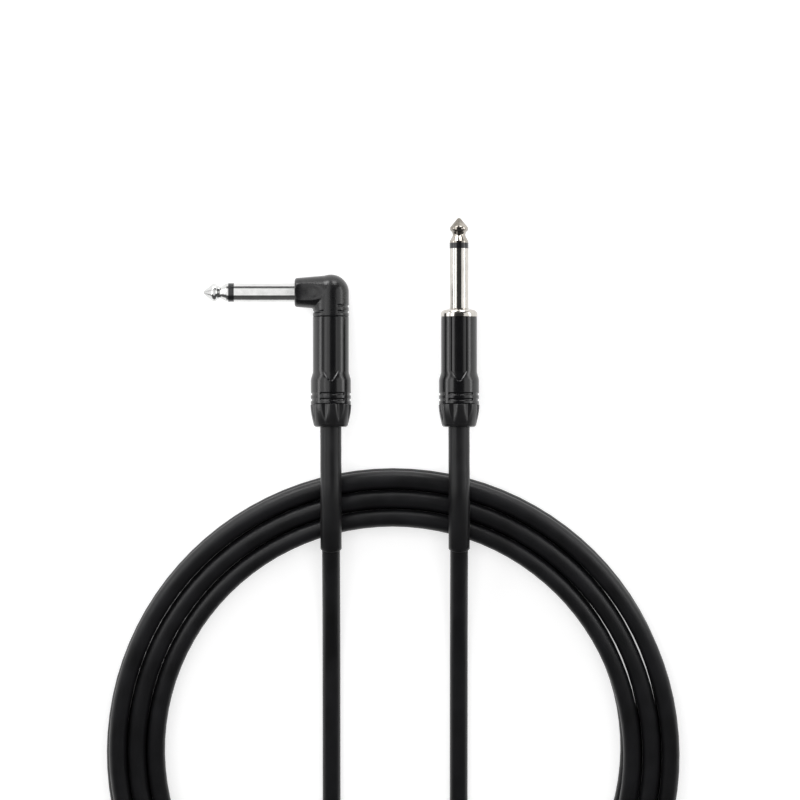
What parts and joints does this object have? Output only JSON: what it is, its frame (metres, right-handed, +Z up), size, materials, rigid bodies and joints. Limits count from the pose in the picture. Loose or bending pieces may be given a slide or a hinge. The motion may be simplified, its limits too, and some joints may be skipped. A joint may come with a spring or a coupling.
{
  "type": "instrument cable",
  "caption": "Coiled round cable with a right-angle and a straight quarter-inch plug, clamp-nut strain reliefs and heat-shrink sleeves.",
  "frame": {"origin": "on the surface that the cable lies on, under the middle of the two plugs' common box", "axes": "+Z up, +Y from the coil towards the straight plug's tip, -X the way the angled plug's shaft points"},
  "size_m": [0.1953, 0.2831, 0.0206],
  "materials": {
    "cable_jacket": "satin PVC",
    "heat_shrink": "satin shrunk polyolefin",
    "warm_nickel": "polished nickel plate",
    "bright_nickel": "polished nickel plate",
    "ring_plastic": "moulded nylon",
    "clear_insulator": "moulded nylon",
    "tinned_metal": "tin plate and solder",
    "barrel_black": "black chrome, satin gloss",
    "elbow_black": "black enamel, satin gloss",
    "chuck_plastic": "moulded acetal",
    "nut_black": "moulded nylon, satin",
    "core_insulation": "extruded polyethylene",
    "bare_copper": "bare copper strands"
  },
  "bodies": {
    "root": {"cable_coil": "cable_jacket", "cable_lead_angled": "cable_jacket", "cable_lead_straight": "cable_jacket", "heatshrink_angled": "heat_shrink", "heatshrink_straight": "heat_shrink", "straight_tip_contact": "warm_nickel", "straight_tip_ring": "ring_plastic", "straight_inner_tube": "clear_insulator", "straight_sleeve_contact": "warm_nickel", "straight_rear_washer": "clear_insulator", "straight_tip_lug": "tinned_metal", "straight_ground_lug": "tinned_metal", "straight_barrel": "barrel_black", "straight_liner": "clear_insulator", "straight_core": "core_insulation", "straight_conductor": "bare_copper", "straight_shield_pigtail": "bare_copper", "straight_solder": "tinned_metal", "angled_tip_contact": "bright_nickel", "angled_tip_ring": "ring_plastic", "angled_inner_tube": "clear_insulator", "angled_sleeve_contact": "bright_nickel", "angled_rear_washer": "clear_insulator", "angled_tip_lug": "tinned_metal", "angled_ground_lug": "tinned_metal", "angled_elbow": "elbow_black", "angled_barrel": "barrel_black", "angled_liner": "clear_insulator", "angled_core": "core_insulation", "angled_conductor": "bare_copper", "angled_shield_pigtail": "bare_copper", "angled_solder": "tinned_metal"},
    "straight_chuck": {"straight_chuck": "chuck_plastic"},
    "straight_clamp_nut": {"straight_clamp_nut": "nut_black"},
    "angled_chuck": {"angled_chuck": "chuck_plastic"},
    "angled_clamp_nut": {"angled_clamp_nut": "nut_black"}
  },
  "joints": [
    {"name": "straight_chuck_slide", "type": "slide", "parent": "root", "child": "straight_chuck", "axis": [0, -0.9885, 0.1512], "range_m": [0, 0.005]},
    {"name": "straight_nut_turn", "type": "hinge", "parent": "straight_chuck", "child": "straight_clamp_nut", "pos_m": [0.03985, -0.03463, 0.01323], "axis": [0, -0.9885, 0.1512], "range_deg": [0, 1800]},
    {"name": "angled_chuck_slide", "type": "slide", "parent": "root", "child": "angled_chuck", "axis": [0, -0.9878, 0.1559], "range_m": [0, 0.005]},
    {"name": "angled_nut_turn", "type": "hinge", "parent": "angled_chuck", "child": "angled_clamp_nut", "pos_m": [-0.00355, -0.03463, 0.0132], "axis": [0, -0.9878, 0.1559], "range_deg": [0, 1800]}
  ],
  "couplings": [
    {"joint": "straight_nut_turn", "follows": "straight_chuck_slide", "rad_per_m": 6283.1},
    {"joint": "angled_nut_turn", "follows": "angled_chuck_slide", "rad_per_m": 6283.1}
  ]
}
